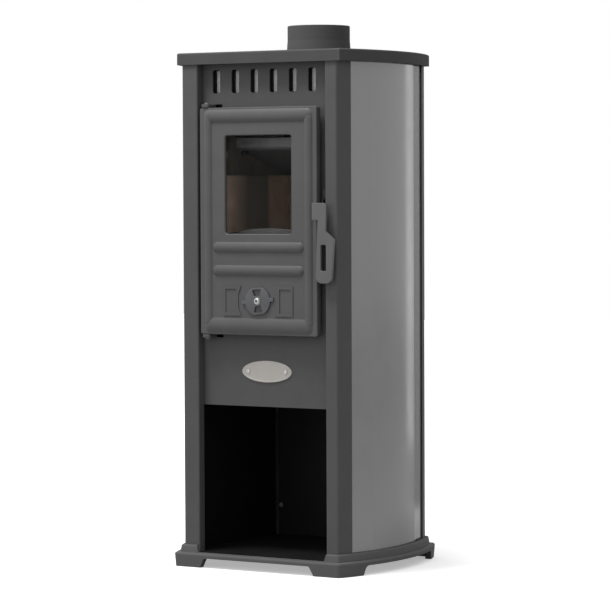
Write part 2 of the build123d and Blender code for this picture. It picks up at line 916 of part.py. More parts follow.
# Hinge lugs: two tongues through slots in the front panel, welded behind it by their feet, that hold
# the door's pins above and below its left corner
with BuildPart() as hinge_lugs:
    lug_nose = hinge_y - lug_half_width
    for lug_bottom in lug_bottoms:
        with BuildSketch(level(lug_bottom)):
            with Locations((hinge_x, (lug_nose + front_back) / 2)):
                Rectangle(2 * lug_half_width, front_back - lug_nose)
            fillet(vertices().group_by(Axis.Y)[0], lug_nose_corner)
            with Locations((hinge_x, hinge_y)):
                Circle(pin_radius + pin_fit, mode=Mode.SUBTRACT)
        extrude(amount=lug_thickness)
        with BuildSketch(upright(front_back + lug_foot_thickness)):
            with Locations((hinge_x, lug_bottom + lug_thickness / 2)):
                Rectangle(2 * lug_half_width, lug_thickness + 2 * lug_foot_reach)
        extrude(amount=lug_foot_thickness)

# Hinge pins: headed pins, one down through the upper lug and one up through the lower
with BuildPart() as hinge_pins:
    upper_lug_top = lug_bottoms[1] + lug_thickness
    pin_length = lug_thickness + lug_gap + pin_depth
    for head_level, direction in ((upper_lug_top, 1), (lug_bottoms[0], -1)):
        with BuildSketch(level(head_level)):
            with Locations((hinge_x, hinge_y)):
                Circle(pin_head)
        extrude(amount=direction * pin_head_height)
        with BuildSketch(level(head_level)):
            with Locations((hinge_x, hinge_y)):
                Circle(pin_radius)
        extrude(amount=-direction * pin_length)


def air_hole(end):
    """The corners of an air hole, wider away from the screw; end is -1 below it and 1 above it"""
    return [
        (-air_hole_inner_half, end * air_hole_inner),
        (air_hole_inner_half, end * air_hole_inner),
        (air_hole_outer_half, end * air_hole_outer),
        (-air_hole_outer_half, end * air_hole_outer),
    ]


def ornament_outline(side):
    """An ornament's outline in front view, waisted on the air disc's side"""
    low = disc_z - ornament_half_height
    high = disc_z + ornament_half_height
    with BuildLine() as outline:
        Polyline(
            (side * ornament_inner, low),
            (side * ornament_outer, low),
            (side * ornament_outer, high),
            (side * ornament_inner, high),
            (side * (ornament_inner + ornament_waist), disc_z + ornament_waist_half),
            (side * (ornament_inner + ornament_waist), disc_z - ornament_waist_half),
            close=True,
        )
    return outline.line


clip_x = window_half_width + glass_lap + clip_boss_gap + clip_boss_radius
clip_rows = (window_middle - clip_spacing / 2, window_middle + clip_spacing / 2)
clip_points = [(side * clip_x, row) for side in (-1, 1) for row in clip_rows]
clip_seat = door_plate_back + glass_gasket + glass_thickness

# Half-round rolls on the door's front: a border of four, and two ribs between window and air disc
border_half = door_half_width - bead_side_inset
border_low = door_bottom + bead_top_inset
border_high = door_top - bead_top_inset
low_roll_z = border_low + bead_bottom_width / 2
high_roll_z = border_high - bead_top_width / 2
side_roll_x = border_half - bead_side_width / 2
side_roll_size = (bead_side_width, high_roll_z - low_roll_z + 2 * bead_side_end)
rib_size = (2 * rib_half_width, rib_height)
rolls = []
for roll_place, roll_size in (
    ((0, high_roll_z), (2 * border_half + near, bead_top_width)),
    ((0, low_roll_z), (2 * border_half + near, bead_bottom_width)),
    ((-side_roll_x, (low_roll_z + high_roll_z) / 2), side_roll_size),
    ((side_roll_x, (low_roll_z + high_roll_z) / 2), side_roll_size),
    ((0, door_bottom + rib_low_centre), rib_size),
    ((0, door_bottom + rib_high_centre), rib_size),
):
    roll_width = min(roll_size)
    roll_slope = 2 * math.atan(2 * bead_height / roll_width)
    roll_radius = (roll_width**2 / 4 + bead_height**2) / (2 * bead_height)
    with BuildPart() as roll:
        with BuildSketch(upright(door_front)):
            with Locations(roll_place):
                RectangleRounded(*roll_size, roll_width / 2 - near)
        extrude(amount=bead_height, taper=90 - math.degrees(roll_slope))
        roll_edges = roll.edges().filter_by_position(Axis.Y, bead_front - near, bead_front + near)
        fillet(roll_edges, bead_fullness * roll_radius)
    rolls.append(roll.part)

# Door: a cast frame with a raised border, ribs, ornaments, window opening and air holes
with BuildPart() as door:
    with BuildSketch(upright(door_back)):
        with Locations((0, door_middle)):
            RectangleRounded(2 * door_half_width, door_height, door_corner)
    extrude(amount=door_thickness)
    fillet(door.edges().filter_by_position(Axis.Y, door_front - near, door_front + near), door_edge_round)
    with BuildSketch(upright(door_back)):
        with Locations((0, door_middle)):
            RectangleRounded(
                2 * (door_half_width - door_rim), door_height - 2 * door_rim, door_corner - door_rim / 2
            )
    extrude(amount=door_thickness - door_plate, mode=Mode.SUBTRACT)
    # bosses round the hinge pins
    with BuildSketch(upright(door_back)):
        boss_left = -door_half_width + door_rim - boss_lap
        boss_right = hinge_x + pin_radius + pin_fit + boss_margin
        boss_reach = pin_depth + pin_end_gap + boss_margin
        for boss_z in (door_top - (door_rim + boss_reach) / 2, door_bottom + (door_rim + boss_reach) / 2):
            with Locations(((boss_left + boss_right) / 2, boss_z)):
                Rectangle(boss_right - boss_left, boss_reach - door_rim + 2 * boss_lap)
    extrude(amount=door_thickness - boss_lap)
    # ear for the handle's spindle
    with BuildSketch(upright(door_back)):
        with Locations((spindle_x, spindle_z)):
            Circle(ear_radius)
        with Locations((spindle_x - spindle_inset, spindle_z)):
            Rectangle(2 * spindle_inset, 2 * ear_radius)
    extrude(amount=door_thickness)
    # raised border and ribs
    add(rolls)
    # framed ornaments beside the air disc, hollowed towards it
    for side in (-1, 1):
        with BuildSketch(upright(door_front)):
            make_face(ornament_outline(side))
            with Locations((side * (recess_inner + recess_outer) / 2, disc_z)):
                Rectangle(recess_outer - recess_inner, 2 * recess_half_height, mode=Mode.SUBTRACT)
        extrude(amount=ornament_relief)
    # bosses for the glass clips
    with BuildSketch(upright(clip_seat)):
        with Locations(*clip_points):
            Circle(clip_boss_radius)
    extrude(amount=clip_seat - door_plate_back)
    # window opening, air holes and bores
    with BuildSketch(upright(door_plate_back)):
        with Locations((0, window_middle)):
            RectangleRounded(2 * window_half_width, window_height, window_corner)
    extrude(amount=door_plate, mode=Mode.SUBTRACT)
    window_edges = door.edges().filter_by_position(Axis.Y, door_front - near, door_front + near)
    chamfer(
        window_edges.filter_by_position(Axis.X, -window_half_width - near, window_half_width + near)
        .filter_by_position(
            Axis.Z, window_middle - window_height / 2 - near, window_middle + window_height / 2 + near
        ),
        window_chamfer,
    )
    with BuildSketch(upright(door_plate_back)):
        with Locations(Location((0, disc_z), disc_tilt + disc_turn)):
            Polygon(*air_hole(-1), align=None)
            Polygon(*air_hole(1), align=None)
        fillet(vertices(), air_hole_corner)
        with Locations((0, disc_z)):
            Circle(disc_screw_radius + pin_fit)
    extrude(amount=door_plate, mode=Mode.SUBTRACT)
    with BuildSketch(upright(door_back)):
        with Locations((spindle_x, spindle_z)):
            Circle(spindle_radius + pin_fit)
    extrude(amount=door_thickness, mode=Mode.SUBTRACT)
    with BuildSketch(upright(clip_seat)):
        with Locations(*clip_points):
            Circle(clip_screw_radius + pin_fit)
    extrude(amount=clip_seat - door_plate_back, mode=Mode.SUBTRACT)
    for bore_start, direction in ((door_top, -1), (door_bottom, 1)):
        with BuildSketch(level(bore_start)):
            with Locations((hinge_x, hinge_y)):
                Circle(pin_radius + pin_fit)
        extrude(amount=direction * (pin_depth + pin_end_gap), mode=Mode.SUBTRACT)

# Door gasket: a glass-fibre rope behind the door plate, over the mouth frame
with BuildPart() as door_gasket:
    rope_y = door_plate_back + gasket_radius
    rope_low = door_middle - gasket_half_height
    rope_high = door_middle + gasket_half_height
    with BuildLine(upright(rope_y)) as rope_path:
        FilletPolyline(
            (-gasket_half_width, rope_low),
            (gasket_half_width, rope_low),
            (gasket_half_width, rope_high),
            (-gasket_half_width, rope_high),
            radius=gasket_corner,
            close=True,
        )
    with BuildSketch(Plane((0, rope_y, rope_low), x_dir=(0, 1, 0), z_dir=(1, 0, 0))):
        Circle(gasket_radius)
    sweep(path=rope_path.line)

# Window: gasket tape, ceramic glass, clips and their screws, on the back of the door plate
with BuildPart() as glass_gasket_tape:
    with BuildSketch(upright(door_plate_back + glass_gasket)):
        with Locations((0, window_middle)):
            Rectangle(2 * (window_half_width + glass_lap), window_height + 2 * glass_lap)
            tape_inner_half = window_half_width + tape_set_back
            Rectangle(2 * tape_inner_half, window_height + 2 * tape_set_back, mode=Mode.SUBTRACT)
    extrude(amount=glass_gasket)

with BuildPart() as window_glass:
    with BuildSketch(upright(clip_seat)):
        with Locations((0, window_middle)):
            Rectangle(2 * (window_half_width + glass_lap), window_height + 2 * glass_lap)
    extrude(amount=glass_thickness)

with BuildPart() as glass_clips:
    clip_inner = window_half_width + glass_lap - clip_reach
    clip_outer = clip_x + clip_boss_radius
    with BuildSketch(upright(clip_seat + clip_sheet)):
        for side in (-1, 1):
            with Locations(*[(side * (clip_inner + clip_outer) / 2, row) for row in clip_rows]):
                Rectangle(clip_outer - clip_inner, clip_width)
        with Locations(*clip_points):
            Circle(clip_screw_radius + pin_fit, mode=Mode.SUBTRACT)
    extrude(amount=clip_sheet)

with BuildPart() as glass_clip_screws:
    screw_seat = clip_seat + clip_sheet
    with BuildSketch(upright(screw_seat)):
        with Locations(*clip_points):
            Circle(clip_screw_head)
    extrude(amount=-clip_screw_head_height)
    with BuildSketch(upright(screw_seat)):
        with Locations(*clip_points):
            Circle(clip_screw_radius)
    extrude(amount=screw_seat - door_plate_back)

# Air disc: turns on its screw; closed as it hangs here, open when its holes stand over those in the door
with BuildPart() as air_disc:
    with BuildSketch(upright(disc_back)):
        with Locations(Location((0, disc_z), disc_tilt)):
            Circle(disc_radius)
            Rectangle(2 * disc_ear_reach, disc_ear_width)
            Rectangle(4 * disc_ear_reach, 2 * disc_flat, mode=Mode.INTERSECT)
        with Locations((0, disc_z)):
            Circle(disc_screw_radius + pin_fit, mode=Mode.SUBTRACT)
    extrude(amount=disc_thickness)
    with BuildSketch(upright(disc_back)):
        with Locations(Location((0, disc_z), disc_tilt)):
            Polygon(*air_hole(-1), align=None)
            Polygon(*air_hole(1), align=None)
        fillet(vertices(), air_hole_corner)
    extrude(amount=disc_thickness, mode=Mode.SUBTRACT)

with BuildPart() as air_disc_washer:
    with BuildSketch(upright(disc_front - washer_gap)):
        with Locations((0, disc_z)):
            Circle(washer_radius)
            Circle(disc_screw_radius + pin_fit, mode=Mode.SUBTRACT)
    extrude(amount=washer_thickness)

with BuildPart() as air_disc_screw:
    screw_head_back = disc_front - washer_gap - washer_thickness
    with BuildSketch(upright(screw_head_back)):
        with Locations((0, disc_z)):
            Circle(disc_screw_head)
    extrude(amount=disc_screw_head_height)
    fillet(air_disc_screw.edges().group_by(Axis.Y)[0], disc_screw_round)
    with BuildSketch(upright(screw_head_back)):
        with Locations((0, disc_z)):
            Circle(disc_screw_radius)
    extrude(amount=-(door_plate_back + disc_screw_tail - screw_head_back))

with BuildPart() as air_disc_nut:
    with BuildSketch(upright(door_plate_back)):
        with Locations((0, disc_z)):
            RegularPolygon(disc_nut_radius, 6)
            Circle(disc_screw_radius + pin_fit, mode=Mode.SUBTRACT)
    extrude(amount=-disc_nut_thickness)

# Handle: a flat cast lever that hangs from its spindle, with a slot in the grip for a cold-handle tool
with BuildPart() as door_handle:
    with BuildSketch(upright(handle_back)):
        with BuildLine():
            left_x = spindle_x - head_left
            Polyline(
                (left_x, spindle_z + head_above),
                (spindle_x + head_right, spindle_z + head_above),
                (spindle_x + neck_right, spindle_z - flare_top),
                (spindle_x + grip_right, spindle_z - flare_bottom),
                (spindle_x + grip_foot_right, spindle_z - grip_end),
                (spindle_x + grip_left, spindle_z - grip_end),
                (spindle_x + neck_left, spindle_z - head_below),
                (left_x, spindle_z - head_below),
                close=True,
            )
        make_face()
        grip_corners = vertices().filter_by_position(
            Axis.Y, spindle_z - grip_end - near, spindle_z - grip_end + near
        )
        fillet(grip_corners, grip_round)
        head_corner = vertices().group_by(Axis.Y)[-1].sort_by(Axis.X)[-1]
        fillet(head_corner, head_corner_radius)
        with Locations((spindle_x + grip_slot_centre_x, spindle_z - grip_slot_centre_z)):
            RectangleRounded(grip_slot_width, grip_slot_height, grip_slot_corner, mode=Mode.SUBTRACT)
    extrude(amount=handle_thickness)
    fillet(door_handle.faces().sort_by(Axis.Y)[0].edges(), handle_edge_round)
    with BuildSketch(upright(door_front - hub_gap)):
        with Locations((spindle_x, spindle_z)):
            Circle(handle_hub_radius)
    extrude(amount=handle_stand_off - hub_gap)
    with BuildSketch(upright(door_front - hub_gap)):
        with Locations((spindle_x, spindle_z)):
            Circle(spindle_radius + pin_fit)
    extrude(amount=handle_stand_off - hub_gap + handle_blind, mode=Mode.SUBTRACT)

with BuildPart() as handle_spindle:
    spindle_front = handle_back - handle_blind
    spindle_back = tongue_back + nut_thickness
    with BuildSketch(upright(spindle_back)):
        with Locations((spindle_x, spindle_z)):
            Circle(spindle_radius)
    extrude(amount=spindle_back - spindle_front)

with BuildPart() as latch_tongue:
    with BuildSketch(upright(tongue_back)):
        with Locations((spindle_x, spindle_z)):
            Circle(tongue_hub_radius)
        with Locations((spindle_x, spindle_z + tongue_length / 2)):
            Rectangle(tongue_width, tongue_length)
        with Locations((spindle_x, spindle_z)):
            Circle(spindle_radius + pin_fit, mode=Mode.SUBTRACT)
    extrude(amount=tongue_thickness)

with BuildPart() as spindle_nut:
    with BuildSketch(upright(tongue_back)):
        with Locations((spindle_x, spindle_z)):
            Circle(nut_radius)
            Circle(spindle_radius + pin_fit, mode=Mode.SUBTRACT)
    extrude(amount=-nut_thickness)

# Latch keeper: a small hook beside the post that the tongue's tip goes behind at the end of its turn
keeper_right = opening_half + opening_shift - keeper_edge_gap
keeper_bottom = spindle_z + tongue_length + keeper_above_tongue
keeper_front = tongue_front - keeper_lip_gap
keeper_screw_x = keeper_right - keeper_width / 2
keeper_screw_z = keeper_bottom + keeper_screw_low
keeper_screw_points = [
    (keeper_screw_x, keeper_screw_z),
    (keeper_screw_x, keeper_screw_z + keeper_screw_pitch),
]
with BuildPart() as latch_keeper:
    with BuildSketch(upright(front_face)):
        with Locations((keeper_right - keeper_width / 2, keeper_bottom + keeper_height / 2)):
            Rectangle(keeper_width, keeper_height)
        with Locations(*keeper_screw_points):
            Circle(keeper_screw_radius + pin_fit, mode=Mode.SUBTRACT)
    extrude(amount=keeper_base)
    lip_left = spindle_x + keeper_lip_start
    with BuildSketch(upright(front_face)):
        with Locations(((lip_left + keeper_right) / 2, keeper_bottom + keeper_tooth_height / 2)):
            Rectangle(keeper_right - lip_left, keeper_tooth_height)
    extrude(amount=front_face - keeper_front)
    with BuildSketch(upright(keeper_front)):
        lip_height = keeper_tooth_height + keeper_lip_drop
        lip_middle = keeper_bottom + keeper_tooth_height - lip_height / 2
        with Locations(((lip_left + keeper_right) / 2, lip_middle)):
            Rectangle(keeper_right - lip_left, lip_height)
    extrude(amount=keeper_lip_thickness)

with BuildPart() as latch_keeper_screws:
    with BuildSketch(upright(front_face - keeper_base)):
        with Locations(*keeper_screw_points):
            Circle(keeper_screw_head)
    extrude(amount=keeper_screw_head_height)
    with BuildSketch(upright(front_face - keeper_base)):
        with Locations(*keeper_screw_points):
            Circle(keeper_screw_radius)
    extrude(amount=-keeper_base)

# Badge: an oval plate, riveted to the front panel under the door
badge_z = door_bottom - badge_below_door
with BuildPart() as badge_plate:
    with BuildSketch(upright(front_face)):
        with Locations((badge_shift, badge_z)):
            Ellipse(badge_width / 2, badge_height / 2)
            with GridLocations(2 * badge_rivet_offset, 0, 2, 1):
                Circle(rivet_radius + pin_fit, mode=Mode.SUBTRACT)
    extrude(amount=badge_thickness)
    fillet(badge_plate.faces().sort_by(Axis.Y)[0].outer_wire().edges(), badge_edge_round)

with BuildPart() as badge_rivets:
    with BuildSketch(upright(front_face - badge_thickness)):
        with Locations((badge_shift, badge_z)):
            with GridLocations(2 * badge_rivet_offset, 0, 2, 1):
                Circle(rivet_head_radius)
    extrude(amount=rivet_head_height)
    fillet(badge_rivets.edges().group_by(Axis.Y)[0], rivet_head_round)
    with BuildSketch(upright(front_face - badge_thickness)):
        with Locations((badge_shift, badge_z)):
            with GridLocations(2 * badge_rivet_offset, 0, 2, 1):
                Circle(rivet_radius)
    extrude(amount=-badge_thickness)

pieces = {
    "plinth": plinth,
    "niche_floor": niche_floor,
    "front_left_post": front_left_post,
    "front_right_post": front_right_post,
    "rear_left_post": rear_left_post,
    "rear_right_post": rear_right_post,
    "left_side_panel": left_side_panel,
    "right_side_panel": right_side_panel,
    "back_panel": back_panel,
    "back_panel_screws": back_panel_screws,
    "front_panel": front_panel,
    "niche_liner": niche_liner,
    "top_plate": top_plate,
    "flue_collar": flue_collar,
    "flue_collar_bolts": flue_collar_bolts,
    "inner_front_plate": inner_front_plate,
    "mouth_frame": mouth_frame,
    "air_deflector": air_deflector,
    "firebox_shell": firebox_shell,
    "firebox_rails": firebox_rails,
    "left_heat_shield": left_heat_shield,
    "right_heat_shield": right_heat_shield,
    "rear_heat_shield": rear_heat_shield,
    "grate_ledges": grate_ledges,
    "grate_bed": grate_bed,
    "grate": grate,
    "left_fire_brick": left_fire_brick,
    "right_fire_brick": right_fire_brick,
    "back_fire_brick": back_fire_brick,
    "log_retainer": log_retainer,
    "baffle": baffle,
    "baffle_pegs": baffle_pegs,
    "ash_pan_runners": ash_pan_runners,
    "ash_pan": ash_pan,
    "hinge_lugs": hinge_lugs,
    "hinge_pins": hinge_pins,
    "door": door,
    "door_gasket": door_gasket,
    "glass_gasket_tape": glass_gasket_tape,
    "window_glass": window_glass,
    "glass_clips": glass_clips,
    "glass_clip_screws": glass_clip_screws,
    "air_disc": air_disc,
    "air_disc_washer": air_disc_washer,
    "air_disc_screw": air_disc_screw,
    "air_disc_nut": air_disc_nut,
    "door_handle": door_handle,
    "handle_spindle": handle_spindle,
    "latch_tongue": latch_tongue,
    "spindle_nut": spindle_nut,
    "latch_keeper": latch_keeper,
    "latch_keeper_screws": latch_keeper_screws,
    "badge_plate": badge_plate,
    "badge_rivets": badge_rivets,
}
for name, piece in pieces.items():
    piece.part.label = name
    export_step(piece.part, f"parts/{name}.step")
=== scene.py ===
import json
import math

import bmesh
import bpy
from mathutils import Matrix, Vector, noise

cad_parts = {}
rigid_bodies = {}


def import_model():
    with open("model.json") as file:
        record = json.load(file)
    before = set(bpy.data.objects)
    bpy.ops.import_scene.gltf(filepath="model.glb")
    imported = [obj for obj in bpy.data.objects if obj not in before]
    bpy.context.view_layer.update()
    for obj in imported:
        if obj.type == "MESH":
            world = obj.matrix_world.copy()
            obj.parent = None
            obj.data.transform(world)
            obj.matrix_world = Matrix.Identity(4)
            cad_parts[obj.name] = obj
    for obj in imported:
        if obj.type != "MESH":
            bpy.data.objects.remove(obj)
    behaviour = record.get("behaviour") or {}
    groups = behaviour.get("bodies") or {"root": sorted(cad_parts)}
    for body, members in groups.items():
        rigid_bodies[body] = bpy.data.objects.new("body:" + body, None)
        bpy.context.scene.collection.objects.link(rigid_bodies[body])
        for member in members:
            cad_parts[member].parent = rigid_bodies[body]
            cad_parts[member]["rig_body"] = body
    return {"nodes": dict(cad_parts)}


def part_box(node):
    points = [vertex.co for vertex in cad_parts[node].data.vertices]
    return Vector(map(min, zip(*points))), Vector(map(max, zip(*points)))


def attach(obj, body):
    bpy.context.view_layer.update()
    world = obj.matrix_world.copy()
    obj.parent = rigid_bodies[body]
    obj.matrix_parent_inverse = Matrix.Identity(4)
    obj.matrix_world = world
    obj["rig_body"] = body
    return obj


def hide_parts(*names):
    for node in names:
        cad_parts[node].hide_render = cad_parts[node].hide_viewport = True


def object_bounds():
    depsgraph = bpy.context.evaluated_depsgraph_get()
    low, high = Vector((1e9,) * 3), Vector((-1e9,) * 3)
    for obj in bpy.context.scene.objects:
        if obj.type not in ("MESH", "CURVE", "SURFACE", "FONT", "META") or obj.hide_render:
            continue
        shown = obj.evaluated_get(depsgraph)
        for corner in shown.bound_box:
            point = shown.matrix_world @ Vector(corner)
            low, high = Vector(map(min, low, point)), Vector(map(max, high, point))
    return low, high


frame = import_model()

cad_low, cad_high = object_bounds()

# Camera: a long lens on a tripod, to the right of the stove's front and near two thirds of its height,
# tipped slightly down, as in a catalogue picture of a stove that stands alone.
camera_data = bpy.data.cameras.new("catalogue_camera")
camera_data.sensor_width = 36
camera_data.lens = 169.85
camera_data.clip_end = 60
camera = bpy.data.objects.new("catalogue_camera", camera_data)
bpy.context.scene.collection.objects.link(camera)
camera_place = (2.8453, -4.7161, 0.7156)
turn_right, tip_down, lean = math.radians(31.11), math.radians(2.32), math.radians(-0.24)
camera.matrix_world = (
    Matrix.Translation(camera_place)
    @ Matrix.Rotation(turn_right, 4, "Z")
    @ Matrix.Rotation(math.pi / 2 - tip_down, 4, "X")
    @ Matrix.Rotation(lean, 4, "Z")
)
bpy.context.scene.camera = camera
bpy.context.scene.view_settings.view_transform = "Standard"


# Surroundings: white all round for the camera, gloss and glass. Their light on the stove is weaker and
# comes mostly from the front, the left and above, so that the lamps do the shaping.
def seen_directly(tree, kinds=("Is Glossy Ray", "Is Transmission Ray")):
    """1 for the rays that show the background as such: the camera's, and by default gloss and glass"""
    path = tree.nodes.new("ShaderNodeLightPath")
    shown = path.outputs["Is Camera Ray"]
    for kind in kinds:
        either = tree.nodes.new("ShaderNodeMath")
        either.operation = "MAXIMUM"
        tree.links.new(shown, either.inputs[0])
        tree.links.new(path.outputs[kind], either.inputs[1])
        shown = either.outputs[0]
    return shown


def spread(tree, value, low, high, from_low=0.0, from_high=1.0):
    """Stretches a value's range over low to high"""
    stretch = tree.nodes.new("ShaderNodeMapRange")
    stretch.inputs["From Min"].default_value = from_low
    stretch.inputs["From Max"].default_value = from_high
    stretch.inputs["To Min"].default_value = low
    stretch.inputs["To Max"].default_value = high
    tree.links.new(value, stretch.inputs["Value"])
    return stretch.outputs["Result"]


dim_side, bright_side, background_white = 0.3, 1.12, 1.0
towards_light = (-0.45, -0.5, 0.74)
turned_away, turned_towards = -0.4, 1.0
world = bpy.data.worlds.new("studio_white")
bpy.context.scene.world = world
world.use_nodes = True
surround = world.node_tree
sky = surround.nodes["Background"]
sky.inputs["Color"].default_value = (1, 1, 1, 1)
direction = surround.nodes.new("ShaderNodeTexCoord")
facing_light = surround.nodes.new("ShaderNodeVectorMath")
facing_light.operation = "DOT_PRODUCT"
facing_light.inputs[1].default_value = towards_light
surround.links.new(direction.outputs["Generated"], facing_light.inputs[0])
faced = facing_light.outputs["Value"]
room_light = spread(surround, faced, dim_side, bright_side, turned_away, turned_towards)
sky_level = surround.nodes.new("ShaderNodeMix")
sky_level.inputs["B"].default_value = background_white
surround.links.new(seen_directly(surround), sky_level.inputs["Factor"])
surround.links.new(room_light, sky_level.inputs["A"])
surround.links.new(sky_level.outputs["Result"], sky.inputs["Strength"])


# Floor: a flat white sheet that keeps the stove's soft shadow near its feet. Further out it glows up to
# full white, so that it meets the background without an edge.
def stage_sheet(name, width, depth, finish, tilt=0.0, middle=(0, 0, 0)):
    """A flat sheet for the studio, made lying, then tilted up about the X axis and put in its place"""
    shape = bmesh.new()
    bmesh.ops.create_grid(shape, x_segments=1, y_segments=1, size=0.5)
    bmesh.ops.scale(shape, verts=shape.verts, vec=(width, depth, 1))
    bmesh.ops.rotate(shape, verts=shape.verts, matrix=Matrix.Rotation(tilt, 3, "X"))
    bmesh.ops.translate(shape, verts=shape.verts, vec=middle)
    mesh = bpy.data.meshes.new(name)
    shape.to_mesh(mesh)
    shape.free()
    mesh.materials.append(finish)
    sheet = bpy.data.objects.new(name, mesh)
    bpy.context.scene.collection.objects.link(sheet)
    return sheet


floor_size = 18
floor_bounce, floor_white = 0.35, 0.86
glow_near, glow_far = 0.4, 1.0
shadow_reach, white_from = 0.27, 0.75
floor_paint = bpy.data.materials.new("studio_floor")
floor_paint.use_nodes = True
floor_tree = floor_paint.node_tree
floor_shader = floor_tree.nodes["Principled BSDF"]
floor_shader.inputs["Roughness"].default_value = 1
floor_shader.inputs["Specular IOR Level"].default_value = 0
floor_shader.inputs["Emission Color"].default_value = (1, 1, 1, 1)
floor_tone = spread(floor_tree, seen_directly(floor_tree), floor_bounce, floor_white)
floor_tree.links.new(floor_tone, floor_shader.inputs["Base Color"])
floor_place = floor_tree.nodes.new("ShaderNodeTexCoord")
from_stove = floor_tree.nodes.new("ShaderNodeVectorMath")
from_stove.operation = "LENGTH"
floor_tree.links.new(floor_place.outputs["Object"], from_stove.inputs[0])
far_white = spread(floor_tree, from_stove.outputs["Value"], glow_near, glow_far, shadow_reach, white_from)
glow = floor_tree.nodes.new("ShaderNodeMath")
glow.operation = "MULTIPLY"
floor_tree.links.new(far_white, glow.inputs[0])
floor_tree.links.new(seen_directly(floor_tree, ["Is Transmission Ray"]), glow.inputs[1])
floor_tree.links.new(glow.outputs[0], floor_shader.inputs["Emission Strength"])
floor = stage_sheet("studio_floor", floor_size, floor_size, floor_paint)


# Lamps: a soft box high at the front left and close, so that its light falls off down the stove, and a
# tall narrow one behind, for the upright light along the bowed side's crease.
def soft_box(name, place, aim, width, height, watts):
    """A rectangular soft box that the camera doesn't see"""
    data = bpy.data.lights.new(name, "AREA")
    data.shape = "RECTANGLE"
    data.size = width
    data.size_y = height
    data.energy = watts
    lamp = bpy.data.objects.new(name, data)
    bpy.context.scene.collection.objects.link(lamp)
    lamp.location = place
    lamp.rotation_euler = (Vector(aim) - Vector(place)).to_track_quat("-Z", "Y").to_euler()
    lamp.visible_camera = False


soft_box("front_left_box", place=(-0.4, -0.78, 2.45), aim=(0, -0.1, 0.7), width=0.6, height=0.5, watts=32)
soft_box("rear_right_box", place=(0.84, 2.6, 0.7), aim=(0.15, 0, 0.55), width=0.38, height=2.0, watts=1.7)

# Flag: an upright sheet of grey cloth behind the stove, out of the camera's sight. The bowed side's rear
# wing mirrors it instead of the white surroundings, and so stays darker than the crease.
flag_width, flag_height, flag_middle = 0.435, 1.3, (0.1175, 1.0, 0.66)
flag_cloth = bpy.data.materials.new("grey_flag")
flag_cloth.use_nodes = True
cloth_shader = flag_cloth.node_tree.nodes["Principled BSDF"]
cloth_shader.inputs["Base Color"].default_value = (0.5, 0.5, 0.5, 1)
cloth_shader.inputs["Roughness"].default_value = 1
flag = stage_sheet("grey_flag", flag_width, flag_height, flag_cloth, tilt=math.pi / 2, middle=flag_middle)
flag.visible_camera = False


# Plinth: one iron casting with a flared skirt, four feet and a low collar that the casing stands in.
# It is sprayed with dark grey heat-proof paint, through which the casting's sandy grain just shows.
def sprayed(name, colour, roughness, grain=0.0012, raised=0.00005, cloud=0.05, specular=0.25, metallic=0.0):
    """Paint sprayed on steel or iron: a little cloudy in tone, with a fine dry grain"""
    clouds_per_metre, cloud_low, cloud_high, uneven_sheen = 22, 0.3, 0.7, 0.05
    paint = bpy.data.materials.new(name)
    paint.use_nodes = True
    tree = paint.node_tree
    shader = tree.nodes["Principled BSDF"]
    shader.inputs["Specular IOR Level"].default_value = specular
    shader.inputs["Metallic"].default_value = metallic
    place = tree.nodes.new("ShaderNodeTexCoord")
    place.name = "place"
    clouds = tree.nodes.new("ShaderNodeTexNoise")
    clouds.inputs["Scale"].default_value = clouds_per_metre
    clouds.inputs["Detail"].default_value = 8
    clouds.inputs["Roughness"].default_value = 0.62
    tree.links.new(place.outputs["Object"], clouds.inputs["Vector"])
    tone = tree.nodes.new("ShaderNodeValToRGB")
    tone.color_ramp.elements[0].position = cloud_low
    tone.color_ramp.elements[1].position = cloud_high
    tone.color_ramp.elements[0].color = [c * (1 - cloud) for c in colour] + [1]
    tone.color_ramp.elements[1].color = [c * (1 + cloud) for c in colour] + [1]
    tree.links.new(clouds.outputs["Fac"], tone.inputs["Fac"])
    tree.links.new(tone.outputs["Color"], shader.inputs["Base Color"])
    smoothest, roughest = roughness - uneven_sheen, roughness + uneven_sheen
    rough = spread(tree, clouds.outputs["Fac"], smoothest, roughest, cloud_low, cloud_high)
    tree.links.new(rough, shader.inputs["Roughness"])
    grains = tree.nodes.new("ShaderNodeTexNoise")
    grains.name = "grains"
    grains.inputs["Scale"].default_value = 1 / grain
    grains.inputs["Detail"].default_value = 3
    tree.links.new(place.outputs["Object"], grains.inputs["Vector"])
    relief = tree.nodes.new("ShaderNodeBump")
    relief.inputs["Distance"].default_value = raised
    tree.links.new(grains.outputs["Fac"], relief.inputs["Height"])
    tree.links.new(relief.outputs["Normal"], shader.inputs["Normal"])
    return paint


nodes = frame["nodes"]


def coat(finish, *names):
    """Gives a finish to pieces whose shape stays as it is"""
    for name in names:
        for slot in nodes[name].material_slots:
            slot.material = finish


plinth_paint = sprayed("plinth_paint", (0.12, 0.12, 0.122), 0.6, grain=0.0016, raised=0.0001, specular=0.06)
coat(plinth_paint, "plinth")

# Wood store: a floor sheet that lies loose on the plinth's deck, and a liner for its sides and ceiling
# folded from one sheet. Both are near black, painted shade that makes the niche look deep; dust dulls
# the floor a little.
niche_painted_shade_black = sprayed("niche_painted_shade_black", (0.0055, 0.0055, 0.0056), 0.8, raised=0.00003, cloud=0.2, specular=0.1)
coat(niche_painted_shade_black, "niche_liner")
dust_and_painted_shade_black = sprayed("dust_and_painted_shade_black", (0.009, 0.009, 0.0092), 0.8, raised=0.00004, cloud=0.35, specular=0.1)
coat(dust_and_painted_shade_black, "niche_floor")

# Corner posts and front panel: four folded sheets that run from the plinth's collar to the top plate
# and hold the panels. All have charcoal heat-proof paint with a faint satin sheen.
casing_paint = sprayed("casing_paint", (0.092, 0.092, 0.094), 0.5, specular=0.12, raised=0.00002)
coat(casing_paint, "front_left_post", "front_right_post", "rear_left_post", "rear_right_post", "front_panel")

